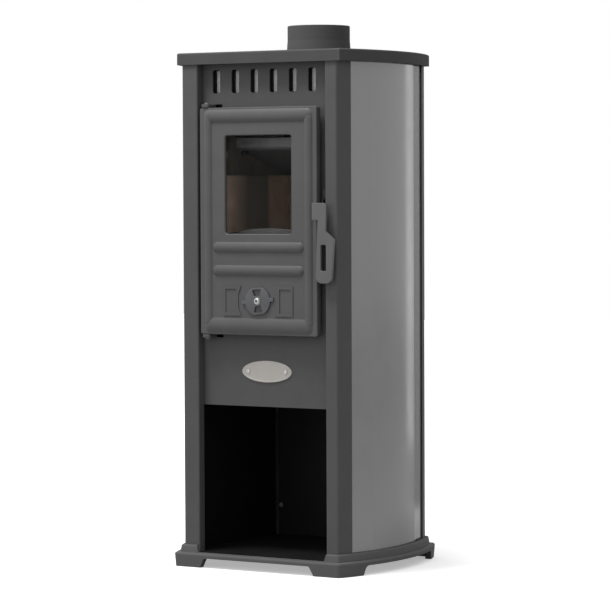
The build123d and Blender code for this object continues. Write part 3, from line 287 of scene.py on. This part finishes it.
# Side panels: sheet rolled to a shallow bow between two flat wings, tucked behind the posts' edges.
# Silver-grey metallic paint, smoother than the casing's, with soft upright lights along the bow.
silver_paint = sprayed(
    "silver_paint", (0.245, 0.245, 0.247), 0.15, grain=0.004, raised=0.000003, cloud=0.015, metallic=0.5
)
coat(silver_paint, "left_side_panel", "right_side_panel")


# Back panel: flat sheet with air slots, screwed to the rear posts. It is charcoal outside like the
# posts. On the side that closes the wood store it is near black: painted shade for the niche's back.
def place_along(tree, axis):
    """Where a point of the piece lies along one axis"""
    place = tree.nodes.new("ShaderNodeTexCoord")
    axes = tree.nodes.new("ShaderNodeSeparateXYZ")
    tree.links.new(place.outputs["Object"], axes.inputs[0])
    return axes.outputs[axis]


def painted_shading_tone(paint, other_tone, own_share):
    """Another tone for a paint wherever its own share falls short of 1, used to paint shade and light into it
    """
    tree = paint.node_tree
    base = tree.nodes["Principled BSDF"].inputs["Base Color"]
    mixed = tree.nodes.new("ShaderNodeMix")
    mixed.data_type = "RGBA"
    mixed.inputs["A"].default_value = (*other_tone, 1)
    tree.links.new(own_share, mixed.inputs["Factor"])
    tree.links.new(base.links[0].from_socket, mixed.inputs["B"])
    tree.links.new(mixed.outputs["Result"], base)


back_paint = sprayed("back_paint", (0.09, 0.09, 0.092), 0.5, specular=0.2, raised=0.00002)
back_tree = back_paint.node_tree
back_low, back_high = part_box("back_panel")
outside = back_tree.nodes.new("ShaderNodeMath")
outside.operation = "GREATER_THAN"
outside.inputs[1].default_value = (back_low.y + back_high.y) / 2
back_tree.links.new(place_along(back_tree, "Y"), outside.inputs[0])
# Near black on the inner side: painted shade in the wood store.
painted_shading_tone(back_paint, (0.011, 0.011, 0.0112), outside.outputs[0])
coat(back_paint, "back_panel")


# Back panel screws: zinc-plated button-head screws with a hexagon socket, along both edges of the
# panel. Each is turned from wire, its head pressed round and the socket punched in.
def islands(name):
    """The lowest and highest corners of each of the like pieces in a group"""
    group = bmesh.new()
    group.from_mesh(nodes[name].data)
    bmesh.ops.remove_doubles(group, verts=group.verts, dist=1e-6)
    boxes = []
    for first in group.verts:
        if first.tag:
            continue
        first.tag = True
        found = [first]
        for vert in found:
            for edge in vert.link_edges:
                other = edge.other_vert(vert)
                if not other.tag:
                    other.tag = True
                    found.append(other)
        spans = [[v.co[axis] for v in found] for axis in range(3)]
        boxes.append((Vector([min(span) for span in spans]), Vector([max(span) for span in spans])))
    group.free()
    return boxes


def turned(steps, corners=40):
    """A closed solid round the Z axis, from steps of radius, height and, where it differs, corners"""
    shape = bmesh.new()
    rings = []
    for radius, height, *own_corners in steps:
        count = own_corners[0] if own_corners else corners
        at_end = len(rings) in (0, len(steps) - 1)
        made = bmesh.ops.create_circle(shape, cap_ends=at_end, radius=radius, segments=count)
        bmesh.ops.translate(shape, verts=made["verts"], vec=(0, 0, height))
        rings.append(list({edge for vert in made["verts"] for edge in vert.link_edges}))
    for lower, upper in zip(rings, rings[1:]):
        bmesh.ops.bridge_loops(shape, edges=lower + upper)
    return shape


facings = {
    "front": Matrix.Rotation(math.radians(90), 4, "X"),
    "back": Matrix.Rotation(math.radians(-90), 4, "X"),
    "up": Matrix.Identity(4),
    "down": Matrix.Rotation(math.radians(180), 4, "X"),
}


def gather(group, one, seat, facing):
    """Adds one turned piece to its group, put on its seat with its head facing one way"""
    bmesh.ops.transform(one, verts=one.verts, matrix=Matrix.Translation(seat) @ facings[facing])
    placed = bpy.data.meshes.new("placed")
    one.to_mesh(placed)
    one.free()
    group.from_mesh(placed)
    bpy.data.meshes.remove(placed)


def finished(name, shape, finish, body, slot, *replaced, smooth=40):
    """Puts a shaped piece in the scene with its finish and its body, hiding the pieces it replaces; the slot
    is not used
    """
    bmesh.ops.recalc_face_normals(shape, faces=shape.faces)
    mesh = bpy.data.meshes.new(name)
    shape.to_mesh(mesh)
    shape.free()
    mesh.shade_smooth()
    mesh.set_sharp_from_angle(angle=math.radians(smooth))
    mesh.materials.append(finish)
    piece = bpy.data.objects.new(name, mesh)
    bpy.context.scene.collection.objects.link(piece)
    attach(piece, body)
    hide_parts(*replaced)


head_profile = ((0.97, 0), (1, 0.08), (0.99, 0.3), (0.9, 0.68), (0.75, 0.92))
first_turn, next_turn = 0.6, 1.9


def screws(name, group, facing, head_height, shank, socket, finish, tip=0.9):
    """Button-head screws in place of a group of plain ones, their heads facing the front or the back"""
    shape = bmesh.new()
    for number, (low, high) in enumerate(islands(group)):
        radius, tail = (high - low).x / 2, -((high - low).y - head_height)
        one = turned([
            (shank * tip, tail),
            (shank, tail + shank * (1 - tip) * 2),
            (shank, 0),
            *((radius * across, head_height * up) for across, up in head_profile),
            (max(radius * 0.58, socket * 1.18), head_height),
            (socket * 1.12, head_height),
            (socket, head_height * 0.94, 6),
            (socket, head_height * 0.35, 6),
            (socket * 0.25, head_height * 0.2, 6),
        ])
        turn = Matrix.Rotation(first_turn + next_turn * number, 3, "Z")
        bmesh.ops.rotate(one, verts=one.verts, matrix=turn)
        seat = (low + high) / 2
        seat.y = low.y + head_height if facing == "front" else high.y - head_height
        gather(shape, one, seat, facing)
    finished(name, shape, finish, nodes[group]["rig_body"], "bright_fastener", group, smooth=30)


zinc = sprayed("zinc", (0.48, 0.48, 0.47), 0.4, grain=0.0006, raised=0.000006, cloud=0.08, metallic=0.85)
screws(
    "back_panel_button_screws", "back_panel_screws", "back", head_height=0.0024, shank=0.0019, socket=0.0014,
    finish=zinc, tip=0.1,
)

# Firebox: shell, front plate and mouth frame of welded plate on two angle rails, in matt black
# heat-proof paint. Inside, soot and heat have turned the paint uneven and brownish.
fire_black = sprayed("fire_black", (0.02, 0.0195, 0.019), 0.8, raised=0.00008, cloud=0.3, specular=0.15)
coat(fire_black, "inner_front_plate", "mouth_frame", "firebox_rails", "grate_ledges", "ash_pan_runners")
sooted_plate = sprayed("sooted_plate", (0.2, 0.185, 0.155), 0.8, raised=0.00008, cloud=0.3, specular=0.15)
coat(sooted_plate, "firebox_shell")


# Baffle and its pegs: a bent plate that rests on four pegs above the fire and sends the smoke round
# its front lip. Bare steel with mill scale: the lip's light grey is partly greyed by the fire and partly
# painted light, from the lamp that reaches it through the window; soot covers the rest.
def eased(name, source, radius, finish, slot, roughened=0.0):
    """A copy of a piece with its sharp edges eased, and its faces roughened like a moulded block's"""
    flat_within, sharp_from = math.radians(1), math.radians(35)
    longest_edge, halvings, waves_per_metre, wave_seed = 0.012, 4, 90, 1
    shape = bmesh.new()
    shape.from_mesh(nodes[source].data)
    bmesh.ops.remove_doubles(shape, verts=shape.verts, dist=1e-6)
    bmesh.ops.dissolve_limit(shape, angle_limit=flat_within, verts=shape.verts, edges=shape.edges)
    sharp = [e for e in shape.edges if len(e.link_faces) == 2 and e.calc_face_angle() > sharp_from]
    bmesh.ops.bevel(
        shape, geom=sharp, offset=radius, segments=2, affect="EDGES", profile=0.5, material=-1,
        clamp_overlap=True,
    )
    if roughened:
        bmesh.ops.triangulate(shape, faces=shape.faces)
        for _ in range(halvings):
            long_edges = [e for e in shape.edges if e.calc_length() > longest_edge]
            bmesh.ops.subdivide_edges(shape, edges=long_edges, cuts=1)
            bmesh.ops.triangulate(shape, faces=[f for f in shape.faces if len(f.verts) > 3])
        noise.seed_set(wave_seed)
        for vert in shape.verts:
            vert.co += Vector(noise.noise_vector(vert.co * waves_per_metre)) * roughened
    finished(name, shape, finish, nodes[source]["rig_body"], slot, source)


scaled_steel_with_lit_lip = sprayed("scaled_steel_with_lit_lip", (0.6, 0.6, 0.605), 0.6, raised=0.00005, cloud=0.25, specular=0.2)
scaled_tree = scaled_steel_with_lit_lip.node_tree
# Above this height the plate takes a light grey that is partly fire-greyed steel and partly painted light.
soot_ends, lit_lip_starts = 0.788, 0.796
greyed_and_lit_lip_share = spread(scaled_tree, place_along(scaled_tree, "Z"), 0, 1, soot_ends, lit_lip_starts)
painted_shading_tone(scaled_steel_with_lit_lip, (0.16, 0.158, 0.155), greyed_and_lit_lip_share)
eased("baffle_bent_plate", "baffle", 0.0008, scaled_steel_with_lit_lip, "firebox_steel")
coat(fire_black, "baffle_pegs")

# Fire bricks: three slabs of pressed tan fire clay that line the fire chamber. They lean loose on the
# walls behind the log retainer. Edges are blunt and faces slightly wavy; the left slab has painted shade,
# a darker band across its middle where little light reaches that wall.
fire_clay, shaded_clay = (
    sprayed(name, (0.62, 0.46, 0.35), 0.9, grain=0.0025, raised=0.0005, cloud=0.16, specular=0.1)
    for name in ("fire_clay", "shaded_clay")
)
clay_tree = shaded_clay.node_tree
slab_front, slab_back = -0.12, 0.1
# A darker band through the left slab's middle, front to back: painted shade.
unshaded_share = clay_tree.nodes.new("ShaderNodeValToRGB")
for position, unshaded_level in ((0.02, 1.0), (0.3, 0.0), (0.62, 0.0), (0.66, 1.0)):
    mark = unshaded_share.color_ramp.elements.new(position)
    mark.color = (unshaded_level, unshaded_level, unshaded_level, 1)
unshaded_share.color_ramp.elements.remove(unshaded_share.color_ramp.elements[0])
unshaded_share.color_ramp.elements.remove(unshaded_share.color_ramp.elements[-1])
slab_depth = spread(clay_tree, place_along(clay_tree, "Y"), 0, 1, slab_front, slab_back)
clay_tree.links.new(slab_depth, unshaded_share.inputs["Fac"])
painted_shading_tone(shaded_clay, (0.21, 0.185, 0.145), unshaded_share.outputs["Color"])
for side, clay in (("left", shaded_clay), ("right", fire_clay), ("back", fire_clay)):
    eased(side + "_clay_slab", side + "_fire_brick", 0.0016, clay, "fire_brick", roughened=0.00035)

# Grate, its bed and the log retainer: bare grey iron castings, sandy and dull, that lie loose in the
# firebox so that they can be lifted out. The retainer's arched top edge keeps logs off the glass.
bare_casting = sprayed("bare_casting", (0.1, 0.099, 0.097), 0.65, grain=0.002, raised=0.0002, cloud=0.2)
eased("cast_grate", "grate", 0.001, bare_casting, "firebox_casting")
eased("cast_grate_bed", "grate_bed", 0.001, bare_casting, "firebox_casting")
eased("cast_log_retainer", "log_retainer", 0.0012, bare_casting, "firebox_casting")

# Ash pan: a tray folded from thin sheet with a lip at the front to pull it by. It slides loose on its
# runners; blued sheet, scratched and dulled by ash.
blued_sheet = sprayed("blued_sheet", (0.07, 0.071, 0.076), 0.5, raised=0.00003, cloud=0.35, metallic=0.4)
eased("folded_ash_pan", "ash_pan", 0.0004, blued_sheet, "firebox_steel")

# Air deflector and heat shields: thin galvanised sheet, bent on a press and stood on the firebox and its
# rails. Light grey, with the faint spangle that zinc leaves on steel.
spangles_per_metre = 140
galvanised = bpy.data.materials.new("galvanised")
galvanised.use_nodes = True
zinc_tree = galvanised.node_tree
zinc_shader = zinc_tree.nodes["Principled BSDF"]
zinc_shader.inputs["Metallic"].default_value = 0.1
zinc_place = zinc_tree.nodes.new("ShaderNodeTexCoord")
spangle = zinc_tree.nodes.new("ShaderNodeTexVoronoi")
spangle.inputs["Scale"].default_value = spangles_per_metre
zinc_tree.links.new(zinc_place.outputs["Object"], spangle.inputs["Vector"])
each_spangle = zinc_tree.nodes.new("ShaderNodeSeparateXYZ")
zinc_tree.links.new(spangle.outputs["Color"], each_spangle.inputs[0])
spangle_tone = zinc_tree.nodes.new("ShaderNodeValToRGB")
spangle_tone.color_ramp.elements[0].color = (0.86, 0.87, 0.88, 1)
spangle_tone.color_ramp.elements[1].color = (0.93, 0.94, 0.95, 1)
zinc_tree.links.new(each_spangle.outputs["X"], spangle_tone.inputs["Fac"])
zinc_tree.links.new(spangle_tone.outputs["Color"], zinc_shader.inputs["Base Color"])
zinc_rough = spread(zinc_tree, each_spangle.outputs["Y"], 0.42, 0.55)
zinc_tree.links.new(zinc_rough, zinc_shader.inputs["Roughness"])
coat(galvanised, "air_deflector", "left_heat_shield", "right_heat_shield", "rear_heat_shield")

# Top plate: a shallow pan of steel sheet with a deep rim, laid over the casing's top. Its paint is a
# shade darker than the casing's and quite dull.
plate_paint = sprayed("plate_paint", (0.08, 0.08, 0.081), 0.65, specular=0.03, raised=0.00002)
coat(plate_paint, "top_plate")

# Flue collar: an iron casting, bolted by its flange to the firebox and standing through the top plate.
# Its dark grey paint has hardly any sheen; the bolts are zinc-plated.
flue_paint = sprayed("flue_paint", (0.078, 0.078, 0.079), 0.6, grain=0.0016, raised=0.00003, specular=0.04)
coat(flue_paint, "flue_collar")
coat(zinc, "flue_collar_bolts")

# Hinge: two steel lugs that come through slots in the front panel, and two pins with a rounded head.
# The lugs are sprayed together with the casing; the pins are barer, and a little lighter.
eased("rounded_hinge_lugs", "hinge_lugs", 0.0006, casing_paint, "firebox_steel")
pin_tip, pin_radius, pin_chamfer = 0.0029, 0.0035, 0.0008
pin_head_radius, pin_head_height, pin_head_edge = 0.005, 0.003, 0.0003
pin_shape = bmesh.new()
for low, high in islands("hinge_pins"):
    tail = -((high.z - low.z) - pin_head_height)
    one = turned([
        (pin_tip, tail),
        (pin_radius, tail + pin_chamfer),
        (pin_radius, 0),
        (pin_head_radius - pin_head_edge, 0),
        (pin_head_radius, pin_head_edge),
        (pin_head_radius, pin_head_height * 0.55),
        (pin_head_radius * 0.86, pin_head_height * 0.88),
        (pin_head_radius * 0.5, pin_head_height),
    ])
    upward = low.z > cad_high.z / 2
    seat = (low + high) / 2
    seat.z = high.z - pin_head_height if upward else low.z + pin_head_height
    gather(pin_shape, one, seat, "up" if upward else "down")
pin_paint = sprayed("pin_paint", (0.13, 0.13, 0.132), 0.45, raised=0.00002, cloud=0.1, metallic=0.3)
finished("headed_hinge_pins", pin_shape, pin_paint, "casing", "pin_steel", "hinge_pins")

# Door: an iron casting with a half-round border, two ribs and two framed ornaments, hung on its pins.
# Sprayed in a slightly bluish charcoal over the casting's fine sand.
door_paint = sprayed("door_paint", (0.104, 0.104, 0.107), 0.45, grain=0.0016, raised=0.00004, specular=0.12)
coat(door_paint, "door")


# Door gasket: three strands of glass-fibre yarn laid as a rope, in a groove all round the door's back.
# It was pressed in with cement, and closing the door has greyed it.
def gasket_strand(turn_start, half_width, half_height, corner, centre, offset):
    """The middle line of one strand as it winds round the rope's path, a rectangle with round corners"""
    strand_pitch, points_per_turn = 0.016, 14
    straight_x, straight_z = half_width - corner, half_height - corner
    quarter = corner * math.pi / 2
    total = 4 * (straight_x + straight_z) + 4 * quarter
    turns = round(total / strand_pitch)
    count = turns * points_per_turn
    points = []
    for number in range(count):
        run = total * number / count
        for start, heading, length in (
            ((-straight_x, half_height), 0, 2 * straight_x),
            ((half_width, straight_z), -90, 2 * straight_z),
            ((straight_x, -half_height), 180, 2 * straight_x),
            ((-half_width, -straight_z), 90, 2 * straight_z),
        ):
            ahead = Vector((math.cos(math.radians(heading)), math.sin(math.radians(heading))))
            out = Vector((-ahead.y, ahead.x))
            if run <= length:
                spot = Vector(start) + ahead * run
                break
            run -= length
            if run <= quarter:
                bend = run / corner
                pivot = Vector(start) + ahead * length - out * corner
                out = out * math.cos(bend) + ahead * math.sin(bend)
                spot = pivot + out * corner
                break
            run -= quarter
        wind = 2 * math.pi * turns * number / count + turn_start
        aside, depth = offset * math.cos(wind), offset * math.sin(wind)
        across, up = spot.x + out.x * aside, spot.y + out.y * aside
        points.append((centre.x + across, centre.y + depth, centre.z + up))
    return points


strand_share, gasket_corner = 0.52, 0.014
gasket_low, gasket_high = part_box("door_gasket")
gasket_size = gasket_high - gasket_low
rope_radius = gasket_size.y / 2
gasket_curve = bpy.data.curves.new("gasket_rope", "CURVE")
gasket_curve.dimensions = "3D"
gasket_curve.bevel_depth = rope_radius * strand_share
gasket_curve.bevel_resolution = 2
for strand in range(3):
    line = gasket_strand(
        turn_start=strand * 2 * math.pi / 3,
        half_width=gasket_size.x / 2 - rope_radius,
        half_height=gasket_size.z / 2 - rope_radius,
        corner=gasket_corner,
        centre=(gasket_low + gasket_high) / 2,
        offset=rope_radius - gasket_curve.bevel_depth,
    )
    spline = gasket_curve.splines.new("POLY")
    spline.points.add(len(line) - 1)
    for point, spot in zip(spline.points, line):
        point.co = (*spot, 1)
    spline.use_cyclic_u = True
gasket_line = bpy.data.objects.new("gasket_rope_line", gasket_curve)
gasket_shape = bmesh.new()
gasket_shape.from_mesh(bpy.data.meshes.new_from_object(gasket_line))
bpy.data.objects.remove(gasket_line)
seal_fibre = sprayed(
    "seal_fibre", (0.11, 0.11, 0.108), 0.9, grain=0.0007, raised=0.0003, cloud=0.3, specular=0.1
)
finished("gasket_rope", gasket_shape, seal_fibre, "door", "seal_rope", "door_gasket", smooth=80)

# Window: a pane of clear ceramic glass on a glass-fibre tape, held by four zinc-plated clips and screws
# on the door's back. The glass is faintly smoky, more so in patches that the fire has tinted.
least_smoke, most_smoke, smoke_patches_per_metre = 0.08, 0.14, 18
window_pane = bpy.data.materials.new("window_pane")
window_pane.use_nodes = True
pane_tree = window_pane.node_tree
pane_shader = pane_tree.nodes["Principled BSDF"]
pane_shader.inputs["Base Color"].default_value = (0.012, 0.012, 0.013, 1)
pane_shader.inputs["Roughness"].default_value = 0.05
pane_shader.inputs["Specular IOR Level"].default_value = 0.3
pane_place = pane_tree.nodes.new("ShaderNodeTexCoord")
smoke = pane_tree.nodes.new("ShaderNodeTexNoise")
smoke.inputs["Scale"].default_value = smoke_patches_per_metre
pane_tree.links.new(pane_place.outputs["Object"], smoke.inputs["Vector"])
smokiness = spread(pane_tree, smoke.outputs["Fac"], least_smoke, most_smoke, 0.3, 0.7)
pane_tree.links.new(smokiness, pane_shader.inputs["Alpha"])
coat(window_pane, "window_glass")
coat(seal_fibre, "glass_gasket_tape")
eased("bent_glass_clips", "glass_clips", 0.0004, zinc, "bright_fastener")
screws(
    "glass_clip_button_screws", "glass_clip_screws", "back", head_height=0.0022, shank=0.002, socket=0.0013,
    finish=zinc,
)

# Air disc: a small casting with two holes and two ears to turn it by, painted much like the door. It
# turns on a bright button-head screw with a washer and a nut behind the door.
disc_paint = sprayed("disc_paint", (0.1, 0.101, 0.105), 0.42, grain=0.0016, raised=0.00004, specular=0.35)
eased("cast_air_disc", "air_disc", 0.0009, disc_paint, "disc_paint")
screws(
    "air_disc_button_screw", "air_disc_screw", "front", head_height=0.0032, shank=0.003, socket=0.0017,
    finish=zinc,
)
coat(zinc, "air_disc_washer", "air_disc_nut")

# Handle: a flat cast lever with a slot, hung on a spindle through the door's ear. It is a little
# lighter than the door, with edges worn smooth by the hand.
handle_paint = sprayed(
    "handle_paint", (0.118, 0.119, 0.122), 0.42, grain=0.0016, raised=0.00004, specular=0.35
)
eased("cast_door_handle", "door_handle", 0.0006, handle_paint, "handle_casting")

# Latch: the spindle, tongue and nut turn with the handle, and the tongue goes behind a small hooked
# keeper screwed beside the post. Oiled dark steel; the keeper is blackened.
oiled_steel = sprayed("oiled_steel", (0.06, 0.06, 0.062), 0.35, grain=0.0008, raised=0.00002, metallic=0.7)
coat(oiled_steel, "handle_spindle", "spindle_nut")
eased("filed_latch_tongue", "latch_tongue", 0.0007, oiled_steel, "pin_steel")
blackened_steel = sprayed("blackened_steel", (0.018, 0.018, 0.018), 0.45, cloud=0.2)
eased("bent_latch_keeper", "latch_keeper", 0.0005, blackened_steel, "firebox_steel")
screws(
    "latch_keeper_button_screws", "latch_keeper_screws", "front", head_height=0.001, shank=0.0016,
    socket=0.001, finish=blackened_steel,
)

# Badge: an oval of pressed metal with a plain raised rim and a bare field, brushed lengthways. The rim
# and the field are pressed in one stroke, in steps that go inward and up or down.
badge_edge = 0.0012
badge_pressing = (
    (0.0004, 0.0006), (0.0006, 0.0002), (0.0012, 0.0), (0.0008, -0.0003), (0.0005, -0.0004), (0.001, -0.0001),
)
badge_low, badge_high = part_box("badge_plate")
badge_middle = (badge_low + badge_high) / 2
badge_half = (badge_high - badge_low) / 2
badge_shape = bmesh.new()
oval = bmesh.ops.create_circle(badge_shape, cap_ends=True, radius=1, segments=96)
bmesh.ops.scale(badge_shape, verts=oval["verts"], vec=(badge_half.x, badge_half.z, 1))
raised_oval = bmesh.ops.extrude_face_region(
    badge_shape, geom=list(badge_shape.faces), use_keep_orig=True
)
raised_verts = [v for v in raised_oval["geom"] if isinstance(v, bmesh.types.BMVert)]
bmesh.ops.translate(badge_shape, verts=raised_verts, vec=(0, 0, badge_edge))
bmesh.ops.recalc_face_normals(badge_shape, faces=badge_shape.faces)
field = max(badge_shape.faces, key=lambda face: face.calc_center_median().z)
for inward, rise in badge_pressing:
    bmesh.ops.inset_region(badge_shape, faces=[field], thickness=inward, depth=rise, use_even_offset=True)
badge_seat = Vector((badge_middle.x, badge_high.y, badge_middle.z))
bmesh.ops.transform(
    badge_shape, verts=badge_shape.verts, matrix=Matrix.Translation(badge_seat) @ facings["front"]
)
brushed = sprayed("brushed_badge", (0.42, 0.405, 0.38), 0.42, grain=0.0004, raised=0.00002, metallic=0.5)
brush_tree = brushed.node_tree
brush_stroke = brush_tree.nodes.new("ShaderNodeMapping")
brush_stroke.inputs["Scale"].default_value = (0.06, 1, 1)
brush_tree.links.new(brush_tree.nodes["place"].outputs["Object"], brush_stroke.inputs["Vector"])
brush_tree.links.new(brush_stroke.outputs["Vector"], brush_tree.nodes["grains"].inputs["Vector"])
finished("bare_oval_badge", badge_shape, brushed, "casing", "badge_metal", "badge_plate", smooth=50)

# Badge rivets: two rivets through the badge, each with a domed head and a dimple in its middle. They are
# of brighter metal than the badge.
rivet_shank, rivet_head_height = 0.6, 0.0014
rivet_dome = ((1, 0), (0.95, 0.0005), (0.78, 0.0012), (0.56, 0.0014), (0.48, 0.0013), (0.42, -0.0002))
rivet_shape = bmesh.new()
for low, high in islands("badge_rivets"):
    rivet_radius, rivet_length = (high.x - low.x) / 2, high.y - low.y
    one = turned([
        (rivet_radius * rivet_shank, -(rivet_length - rivet_head_height)),
        (rivet_radius * rivet_shank, 0),
        *((rivet_radius * across, up) for across, up in rivet_dome),
    ], corners=28)
    seat = (low + high) / 2
    seat.y = low.y + rivet_head_height
    gather(rivet_shape, one, seat, "front")
rivet_metal = sprayed("rivet_metal", (0.7, 0.7, 0.69), 0.35, raised=0.000005, cloud=0.05, metallic=0.7)
finished("domed_badge_rivets", rivet_shape, rivet_metal, "casing", "badge_metal", "badge_rivets")
